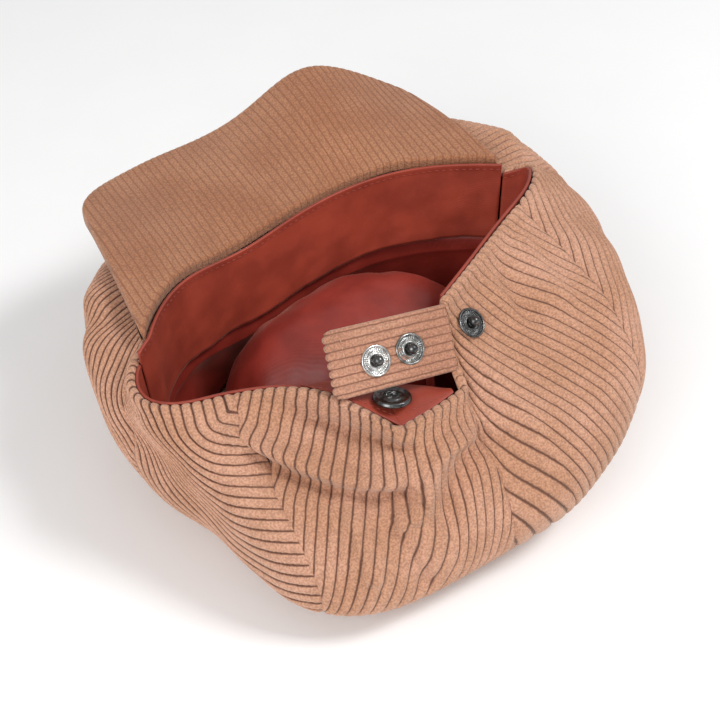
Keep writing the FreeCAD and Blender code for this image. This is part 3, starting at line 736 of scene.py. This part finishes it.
def sweatband(name, run_a, run_b, lift, seed):
    """A length of the sweatband with soft wrinkles and a turned, topstitched upper edge."""
    columns = int((run_b - run_a) / BAND_STEP)
    u = np.linspace(0, 1, columns)[:, None]
    v = (np.linspace(0, 1, 34) ** 1.25)[None, :]
    run = run_a + u * (run_b - run_a) + 0 * v
    v = v + 0 * u
    base = band_surface(run, v, lift)
    inward = loop_inward(run)
    stretched = base * np.array([1.0, 1.0, 0.25])       # wrinkles are longer up and down
    wave = 0.9 * (1 + ripple(stretched, 34, seed)) * v + 0.25 * (1 + ripple(base, 12, seed + 1)) * v
    turned = 0.45 * np.exp(-((v * BAND_HEIGHT) / STITCH_DOWN) ** 4)
    back = base + inward * (wave * 0.9)[..., None]
    front = base + inward * (wave * 0.9 + LINING + turned)[..., None]
    soft_sheet("satin_" + name, front, back, BAND_SATIN, [name])
    row = band_surface(run[:, 0], np.full(columns, STITCH_DOWN / BAND_HEIGHT), lift)
    row = row + inward[:, 0] * (LINING + 0.22)
    stitches("stitching_" + name, row, inward[:, 0], RED_THREAD)


PEAK_RUN_START, PEAK_RUN_END = SEAM_RUNS[2], SEAM_RUNS[6]
sweatband("sweatband_right", TAB_RUN + 4, PEAK_RUN_START - 2, SIDE_BAND_LIFT, seed=11)
sweatband("sweatband_front", PEAK_RUN_START - 1, PEAK_RUN_END + 1, PEAK_BAND_LIFT, seed=12)
sweatband("sweatband_left", PEAK_RUN_END + 2, FLAP_RUN - 3, SIDE_BAND_LIFT, seed=13)


LINING_START, LINING_SHORT = 5, 45       # it leaves out the slit's two sides
LINING_DROP = 1.5                # its top lies this far below the sweatband's lower edge
LINING_TUCK, LINING_TUCK_RISES = 2.2, (8, 4)     # its border behind the band: offset and heights
LINING_BELLY = 18                # how strongly it leaves the band outwards
DOME_FOOT_RISE = 7.0             # its lower border, above the table
DRAWN_OUT_LINING = np.array([1.0, 1.0, 0.3])     # gathers are longer up and down


def lining_side():
    """The lining's side, gathered: from behind the sweatband down to the foot of the dome."""
    u, v = np.linspace(0, 1, 300)[:, None], np.linspace(0, 1, 40)[None, :]
    run = SEAM_RUNS[0] + LINING_START + u * (SEAM_RUNS[-1] - LINING_SHORT) + 0 * v
    v = v + 0 * u
    place = loop_point(run)
    angle = loop_angle(place)
    top = place + loop_inward(run) * (BAND_OUT + BAND_LEAN) - UP * (BAND_HEIGHT + LINING_DROP)
    foot_radii = np.array([*DOME_RADII, 0.0]) + (DOME_FOOT, DOME_FOOT, 0.0)
    foot = DOME_CENTRE + foot_radii * polar(angle, 1, 0) + UP * DOME_FOOT_RISE
    out = polar(angle, LINING_BELLY, 0)
    base = hermite(top, foot, out - UP * 25, UP * -20 - out * 0.5, v[..., None])
    tucked = top[:, :1] - loop_inward(run[:, :1]) * LINING_TUCK     # runs up behind the sweatband
    base = np.concatenate([tucked + UP * rise for rise in LINING_TUCK_RISES] + [base], 1)
    v = np.concatenate([0 * v[:, :len(LINING_TUCK_RISES)], v], 1)
    normals = -grid_normals(base)
    gathers = 1.3 * ripple(base * DRAWN_OUT_LINING, 20, 21) * np.sin(math.pi * v) ** 0.7
    inner = base + normals * gathers[..., None]
    soft_sheet("satin_lining_side", inner + normals * LINING, inner, SATIN, ["lining_side"])


def lining_tip():
    """The lining's round tip, puffed up into a soft dome."""
    side = np.linspace(-1, 1, 131)
    a, b = np.meshgrid(side, side, indexing="ij")
    x, y = a * np.sqrt(1 - b * b / 2), b * np.sqrt(1 - a * a / 2)
    reach = np.minimum(np.hypot(x, y), 1)
    tilt = reach * math.pi / 2
    spread = np.sin(tilt) / np.maximum(reach, 1e-6)
    base = np.stack([DOME_CENTRE[0] + DOME_RADII[0] * x * spread,
                     DOME_CENTRE[1] + DOME_RADII[1] * y * spread,
                     DOME_BASE + (DOME_TOP - DOME_BASE) * np.cos(tilt)], -1)
    normals = unit((base - DOME_CENTRE - UP * DOME_BASE) / np.array([DOME_RADII[0], DOME_RADII[1],
                                                                    DOME_TOP - DOME_BASE]) ** 2)
    soft = -0.8 + 1.2 * ripple(base, 55, 31) + 0.35 * ripple(base, 16, 32)
    crease = np.array([(-20.0, 18.0, 66.0), (-30.0, 22.0, 62.0), (-38.0, 24.0, 57.0)])
    soft = soft - 1.4 * np.exp(-(distance_to_path(base, crease) / 2.2) ** 2)
    dome = base + normals * soft[..., None]
    soft_sheet("satin_lining_tip", dome[::-1], (dome - normals * LINING)[::-1], SATIN, ["lining_tip"])


FACING_INSET, FACING_RISE = 2.4, 1.3             # its border inside and above the opening's edge
FACING_DROP = np.array([3.0, 4.0, 14.0])         # from the fold to the border inside the cap


def facing_surface(u, v):
    """Satin facing of the left flap: a shelf that rolls over the fold and drops into the cap."""
    left, tip, notch = FLAP_RUN + 3, TIP_RUN, LOOP_RUN[-1] - 5
    run = np.where(u < 0.5, left + 2 * u * (tip - left), tip + (2 * u - 1) * (notch - tip))
    edge = loop_point(run) + loop_inward(run) * FACING_INSET + UP * FACING_RISE
    fold = smooth_line(FOLD_LINE, 21)
    steps = np.linspace(0, 1, 21)
    ridge = np.stack([np.interp(u, steps, fold[:, c]) for c in range(3)], -1)
    low = ridge - FACING_DROP
    return hermite(edge, low, (ridge - edge) * 1.6 + UP * 6, UP * -34, v[..., None])


def slit_facing():
    u, v = np.linspace(0, 1, 121)[:, None], np.linspace(0, 1, 61)[None, :]
    u, v = u + 0 * v, v + 0 * u
    base = facing_surface(u, v)
    normals = grid_normals(base)
    normals = normals * np.sign(normals[60, 5, 2])
    soft = 0.25 * (1 + ripple(base, 14, 41)) * np.sin(math.pi * np.minimum(v * 1.6, 1))
    top = base + normals * soft[..., None]
    soft_sheet("satin_slit_facing", top, top - normals * LINING, BAND_SATIN, ["slit_facing"])
    row_u = np.linspace(0.03, 0.96, 90)
    row_v = np.full(row_u.shape, 0.10)
    row = facing_surface(row_u, row_v)
    lift = unit(np.stack([np.interp(row_u, u[:, 0], normals[:, 6, c]) for c in range(3)], -1))
    stitches("stitching_slit_facing", row + lift * 0.3, lift, RED_THREAD,
             length=1.9, gap=0.8)


lining_side()
lining_tip()
slit_facing()


# ---- Peak -------------------------------------------------------------------------------------
PEAK_ROUND = 3.1                 # half the peak's thickness, and the radius of its border
PEAK_OFFSET = np.array([0.0, -2.5, 6.3])         # from the cap's edge to the peak's seam
PEAK_ARCH = 7                    # four times how high it arches between seam and rim
PEAK_RELIEF = 0.4                # its wales stand this share as high as the crown's
SEAM_TURN_RADIUS, SEAM_TURN_DEPTH = 2.2, 4.0     # how its cloth rolls over and down at the seam


def peak_rim(u):
    """Outer border: a squarish curve that waves up on one side of the middle."""
    a = u * PEAK_SWEEP
    x = -3 + PEAK_HALF_WIDTH * np.copysign(np.abs(np.sin(a)) ** PEAK_SQUARENESS, a)
    y = PEAK_CORNER + (PEAK_FRONT - PEAK_CORNER) * np.abs(np.cos(a)) ** PEAK_SQUARENESS
    z = 90 + 22 * np.exp(-((x + 45) / 38) ** 2) + 7 * (1 - np.tanh((x + 40) / 20)) / 2
    return np.stack([x, y, z], -1)


def peak_surface(share, w):
    """Middle surface of the peak from its seam (w = 0) to its rim (w = 1)."""
    u = 2 * share - 1
    seam = peak_seam(u) + PEAK_OFFSET
    return mix(seam, peak_rim(u), w[..., None]) + UP * (PEAK_ARCH * w * (1 - w))[..., None]


def towards_border(span, steps):
    """Shares of a span that follow the border's quarter circle, then even steps."""
    quarter = PEAK_ROUND * (1 - np.cos(np.linspace(0, math.pi / 2, 9))) / span
    return np.concatenate([quarter[:-1], np.linspace(quarter[-1], 1, steps)])


def turned_down(outer, uv):
    """Adds rows before the first: the cover rolls over its seam and down behind the sweatband."""
    first = outer[:, 0]
    inward = unit(np.cross(UP, np.gradient(first, axis=0)))
    rows, places = [], []
    for depth in np.arange(SEAM_TURN_DEPTH, 0.0, -1.0):
        rows.append(first + inward * SEAM_TURN_RADIUS - UP * (SEAM_TURN_RADIUS + depth))
        places.append(-2 * SEAM_TURN_RADIUS - depth)
    for a in np.linspace(math.pi / 2, 0, 7)[:-1]:
        aside, down = math.sin(a), 1 - math.cos(a)
        rows.append(first + (inward * aside - UP * down) * SEAM_TURN_RADIUS)
        places.append(-SEAM_TURN_RADIUS * a)
    rows_uv = [np.stack([uv[:, 0, 0], np.full(len(first), place)], -1) for place in places]
    return np.concatenate([np.stack(rows, 1), outer], 1), np.concatenate([np.stack(rows_uv, 1), uv], 1)


def peak_cover(name, side, node, drop):
    """One corduroy cover of the peak: side is 1 for the one that faces up, -1 for the other.

    drop is how far its seam edge is moved away from the board, to meet the cloth next to it."""
    half = towards_border(100, 150) / 2
    share = np.concatenate([half, 1 - half[-2::-1]])[:, None]
    w = (1 - towards_border(90, 90))[::-1][None, :]
    w[0, 0] = 0.0
    share, w = share + 0 * w, w + 0 * share
    middle = peak_surface(share, w)
    flat = flat_coordinates(middle)
    from_seam = flat[..., 1]
    from_rim = from_seam[:, -1:] - from_seam
    from_side = np.minimum(flat[..., 0] - flat[:1, :, 0], flat[-1:, :, 0] - flat[..., 0])
    border = np.clip(np.minimum(from_rim, from_side) / PEAK_ROUND, 0, 1)
    rounded = np.sqrt(1 - (1 - border) ** 2)
    across = middle[..., 0]
    relief = (wale_relief(across, FINE_PITCH) - WALE_HEIGHT) * PEAK_RELIEF
    soft = 0.5 * ripple(middle, 55, 51 + side)
    turn = drop * np.exp(-(from_seam / 6) ** 2)
    outer_height = 0.12 + (PEAK_ROUND + 0.3 + relief + soft) * rounded + turn
    inner_height = 0.02 + (PEAK_ROUND - CLOTH) * rounded + turn
    outer = middle + UP * (side * outer_height)[..., None]
    inner = middle + UP * (side * inner_height)[..., None]
    uv = np.stack([across, flat[..., 1]], -1)
    if side > 0:
        outer, uv = turned_down(outer, uv)
    else:
        outer, inner, flat, uv = outer[::-1], inner[::-1], flat[::-1], uv[::-1]
    thing = closed_cloth(name, outer, inner, uv, 1)
    finish_piece(thing, PEAK_CORDUROY, [node], body=None)
    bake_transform(thing)


peak_cover("corduroy_peak_under", 1, "peak_under_cover", 0.0)
peak_cover("corduroy_peak_top", -1, "peak_top_cover", 3.2)


# ---- Adjuster tab -----------------------------------------------------------------------------
TAB_ACROSS = unit(np.subtract(TAB_FOOT, TAB_TOP))
TAB_ALONG = np.array([53.0, -3.0, 6.0])
TAB_ALONG = unit(TAB_ALONG - TAB_ACROSS * (TAB_ALONG @ TAB_ACROSS))
TAB_FACE = np.cross(TAB_ALONG, TAB_ACROSS)
TAB_ROOT = mix(TAB_TOP, TAB_FOOT, 0.5) + TAB_ALONG * TAB_OFF
ROOT_TUCK = 4.0                  # the tab's root runs this far in under the rolled edge


def tab_place(along, across, height=0.0):
    along, across, height = np.broadcast_arrays(along, across, height)
    return (TAB_ROOT + along[..., None] * TAB_ALONG + across[..., None] * TAB_ACROSS
            + height[..., None] * TAB_FACE)


def tab_ply(name, side, node):
    """One ply of the tab: wales along it, a rounded border and knobbly wale ends."""
    columns, rows = 150, 73
    along = np.linspace(-ROOT_TUCK, TAB_LENGTH, columns)[:, None]
    across = np.linspace(-0.5, 0.5, rows)[None, :] * TAB_WIDTH
    along, across = along + 0 * across, across + 0 * along
    in_corner_a = np.clip((along - TAB_LENGTH + TAB_CORNER) / TAB_CORNER, 0, 1)
    in_corner_b = np.clip((np.abs(across) - TAB_WIDTH / 2 + TAB_CORNER) / TAB_CORNER, 0, 1)
    corner = in_corner_a * in_corner_b > 0
    round_a = in_corner_a * np.sqrt(1 - in_corner_b ** 2 / 2)
    round_b = in_corner_b * np.sqrt(1 - in_corner_a ** 2 / 2)
    edge = np.minimum(TAB_LENGTH - along, TAB_WIDTH / 2 - np.abs(across))
    edge = np.where(corner, TAB_CORNER * (1 - np.hypot(round_a, round_b)), edge)
    along = np.where(corner, TAB_LENGTH - TAB_CORNER + round_a * TAB_CORNER, along)
    turned_to = np.sign(across) * (TAB_WIDTH / 2 - TAB_CORNER + round_b * TAB_CORNER)
    across_to = np.where(corner, turned_to, across)
    phase = across_to + FINE_PITCH / 2
    knobs = wale_relief(phase, FINE_PITCH) * np.exp(-((TAB_LENGTH - along) / 2.5) ** 2) * 1.5
    rounded = np.sqrt(1 - (1 - np.clip(edge / 1.9, 0, 1)) ** 2)
    relief = (wale_relief(phase, FINE_PITCH) - WALE_HEIGHT) * 0.8
    soft = 0.25 * ripple(tab_place(along, across_to), 18, 61 + side)
    outer_height = 0.08 + (CLOTH + 0.45 + relief + soft) * rounded
    outer = tab_place(along + knobs, across_to, side * outer_height)
    inner = tab_place(along, across_to, side * (0.02 + 0.02 * rounded))
    if side < 0:
        outer, inner, along, phase = outer[::-1], inner[::-1], along[::-1], phase[::-1]
    thing = closed_cloth(name, outer[:, ::-1], inner[:, ::-1], np.stack([phase, along], -1)[:, ::-1], 1)
    finish_piece(thing, TAB_CORDUROY, [node], body=None)
    blend_tab(thing)


def blend_tab(thing):
    start, end = tab_place(-3.6, 0.0), tab_place(2.0, 0.0)
    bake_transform(thing)


tab_ply("corduroy_tab_front", 1, "tab_front")
tab_ply("corduroy_tab_back", -1, "tab_back")


def tab_stitching():
    """Topstitching across the tab's free end and along its two sides."""
    start, end, half = 6, TAB_LENGTH - 5.5, TAB_WIDTH / 2 - 3.2
    path = np.concatenate([tab_place(np.linspace(start, end, 30), -half),
                           tab_place(end, np.linspace(-half, half, 16))[1:],
                           tab_place(np.linspace(end, start, 30), half)[1:]])
    lift = np.broadcast_to(TAB_FACE, path.shape)
    stitches("stitching_tab", path + TAB_FACE * (CLOTH + 0.15), lift, TAN_THREAD, body="tab")


tab_stitching()


# ---- Press studs, socket, rivets and button ---------------------------------------------------
def arc(centre_r, centre_z, radius, low, high, count):
    """(radius, height) pairs round an arc; angles in degrees from outwards towards up."""
    a = np.radians(np.linspace(low, high, count))
    return [(centre_r + radius * math.cos(t), centre_z + radius * math.sin(t)) for t in a]


def turned(name, profile, place, axis, ribs=None, segments=160):
    """Solid of revolution; ribs is (count, inner radius, outer radius, height) of a fluted ring."""
    axis = unit(axis)
    ahead = unit(TAB_ALONG - axis * (TAB_ALONG @ axis))
    across = np.cross(axis, ahead)
    points, faces = [], []
    n = len(profile)
    for s in range(segments):
        a = 2 * math.pi * s / segments
        spoke = ahead * math.cos(a) + across * math.sin(a)
        for r, z in profile:
            if ribs and ribs[1] < r < ribs[2] and z > 0.3:
                flank = min(r - ribs[1], ribs[2] - r) / (ribs[2] - ribs[1]) * 4
                z = z + ribs[3] * min(flank, 1) * (0.5 + 0.5 * math.cos(ribs[0] * a))
            points.append(place + spoke * r + axis * z)
    for s in range(segments):
        t = (s + 1) % segments
        for i in range(n - 1):
            faces.append([s * n + i, t * n + i, t * n + i + 1, s * n + i + 1])
    top, bottom = len(points), len(points) + 1
    points += [place + axis * profile[-1][1], place + axis * profile[0][1]]
    for s in range(segments):
        t = (s + 1) % segments
        faces.append([s * n + n - 1, t * n + n - 1, top])
        faces.append([t * n, s * n, bottom])
    return make_object(name, points, faces)


def stud(name, place, axis, metal, body):
    """Ball stud: a dished, fluted flange with a bright rolled rim, and a dark ball."""
    rim = arc(STUD_RADIUS - 0.55, 0.75, 0.55, -90, 175, 14)
    dish = [(5.55, 0.55), (5.3, 0.5), (4.9, 0.52), (4.4, 0.55), (3.9, 0.6), (3.5, 0.62), (3.3, 0.85),
            (3.1, 0.95), (2.6, 0.95)]
    under, hole = [(0.6, 0.02)], [(2.2, 0.7), (0.6, 0.7)]
    flange = turned("flange_of_" + name, under + rim + dish + hole, place, axis,
                    ribs=(36, 3.6, 5.5, 0.42), segments=288)
    finish_piece(flange, metal, [name], body)
    neck = [(0.5, 0.75), (2.0, 0.75), (1.75, 1.1)]
    ball = turned("ball_of_" + name, neck + arc(0, 2.9, 2.35, -45, 88, 18), place, axis, segments=64)
    finish_piece(ball, DARK_METAL, (), body)


for stud_name, stud_metal in (("tab_stud_outer", BRIGHT_METAL), ("tab_stud_inner", DARKER_METAL)):
    stud_place = tab_place(*STUD_PLACES[stud_name], CLOTH + 0.1)
    stud(stud_name, stud_place, TAB_FACE, stud_metal, "tab")


def flank_place():
    """Where the third stud sits on the back right panel, and the panel's outward direction there."""
    low, high = (np.array(corner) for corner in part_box("flank_stud"))
    target = ((low + high) / 2 - CROWN_AXIS) / MM
    u, v = np.meshgrid(np.linspace(0, 1, 81), np.linspace(0, 0.5, 81), indexing="ij")
    wall = crown_wall(SEAM_RUNS[0] + u * (SEAM_RUNS[1] - SEAM_RUNS[0]),
                      CROWN_SEAMS[0] + u * (CROWN_SEAMS[1] - CROWN_SEAMS[0]), v)
    normals = grid_normals(wall)
    best = np.unravel_index(np.argmin(np.linalg.norm(wall - target, axis=-1)), u.shape)
    return wall[best], normals[best]


flank_point, flank_out = flank_place()
stud("flank_stud", flank_point + flank_out * 1.0, flank_out, DARK_METAL, "cap")


def snap_socket():
    """Gunmetal socket: a rolled rim, a dished face and a stepped hole with the spring in it."""
    low, high = (np.array(corner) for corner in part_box("snap_socket"))
    centre = ((low + high) / 2 - CROWN_AXIS) / MM
    axis = unit(np.array([-0.149, -0.228, 1.0]))
    rim = arc(SOCKET_RADIUS - 0.85, 0.85, 0.85, -80, 30, 8)
    rim += arc(SOCKET_RADIUS - 1.1, 1.35, 0.95, 20, 110, 8)
    dish = [(6.6, 2.05), (6.1, 1.9), (5.3, 1.9), (4.8, 2.1)]
    collar = [(4.5, 2.45), (4.1, 2.6), (3.7, 2.5), (3.35, 2.2), (3.2, 1.8)]
    profile = [(1.3, 0.0), (7.6, 0.0)] + rim + dish + collar + [(3.25, 0.7), (1.3, 0.6)]
    thing = turned("face_of_snap_socket", profile, centre - axis * 1.25, axis)
    finish_piece(thing, DARK_METAL, ["snap_socket"], "cap")


snap_socket()


def button_cover():
    """Corduroy-covered button in the dent of the crown, seen from below the cap."""
    side = np.linspace(-1, 1, 61)
    a, b = np.meshgrid(side, side, indexing="ij")
    x = a * np.sqrt(1 - b * b / 2) * BUTTON_RADIUS
    y = b * np.sqrt(1 - a * a / 2) * BUTTON_RADIUS
    reach = np.minimum(np.hypot(x, y) / BUTTON_RADIUS, 1)
    top = DENT_RISE - 4.4
    relief = (wale_relief(x) - WALE_HEIGHT) * 0.6 * np.sqrt(1 - reach ** 4)
    low = top - (top - 0.5) * np.sqrt(1 - reach ** 2.4) - relief
    outer = np.stack([x, y, low], -1)
    inner = np.stack([x * 0.93, y * 0.93, np.maximum(low + 0.9, low)], -1)
    thing = closed_cloth("corduroy_button", outer, inner, np.stack([x, y], -1), 1)
    finish_piece(thing, CORDUROY, ["button_cover"], "cap")


button_cover()

KEPT_PARTS = {"peak_board": BOARD, "socket_spring": BRIGHT_METAL, "socket_rivet": DARK_METAL,
              "flank_rivet": DARK_METAL, "tab_rivet_outer": DARK_METAL, "tab_rivet_inner": DARK_METAL,
              "button_shell": BRIGHT_METAL, "button_back": DARK_METAL}
for node_name, finish in KEPT_PARTS.items():
    kept_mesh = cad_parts[node_name].data
    kept_mesh.materials.clear()
    kept_mesh.materials.append(finish)


# ---- Stage and light --------------------------------------------------------------------------
LAMPS = [("key", (-0.75, 0.55, 1.3), 0.45, 12.5),        # name, place and size in metres, watts
         ("fill", (1.1, 0.7, 0.8), 1.0, 13)]


def make_stage():
    """Plain pale floor and soft studio light: a key from the right, a broad fill from the left."""
    floor_mesh = bpy.data.meshes.new("floor")
    reach = 6.0
    corners = [(-reach, -reach, 0), (reach, -reach, 0), (reach, reach, 0), (-reach, reach, 0)]
    floor_mesh.from_pydata(corners, [], [(0, 1, 2, 3)])
    floor = bpy.data.objects.new("floor", floor_mesh)
    bpy.context.scene.collection.objects.link(floor)
    paper = Shader("paper", Roughness=0.9)
    grain = paper.noise(0.02, 3.0)
    paper.set("Base Color", paper.blend(grain, (0.93, 0.93, 0.93), (0.96, 0.96, 0.96)))
    floor_mesh.materials.append(paper.material)

    bpy.context.scene.view_settings.view_transform = "Standard"
    world = bpy.data.worlds.new("studio")
    bpy.context.scene.world = world
    world.use_nodes = True
    background = world.node_tree.nodes["Background"]
    background.inputs["Color"].default_value = (1, 1, 1, 1)
    background.inputs["Strength"].default_value = 0.50
    for name, place, size, power in LAMPS:
        light = bpy.data.lights.new(name, "AREA")
        light.size = size
        light.energy = power
        lamp = bpy.data.objects.new(name, light)
        lamp.location = place
        aim = np.array(CAMERA_AIM) * MM - np.array(place)
        lamp.rotation_euler = (math.acos(-aim[2] / np.linalg.norm(aim)), 0,
                               math.atan2(aim[1], aim[0]) - math.pi / 2)
        bpy.context.scene.collection.objects.link(lamp)


make_stage()
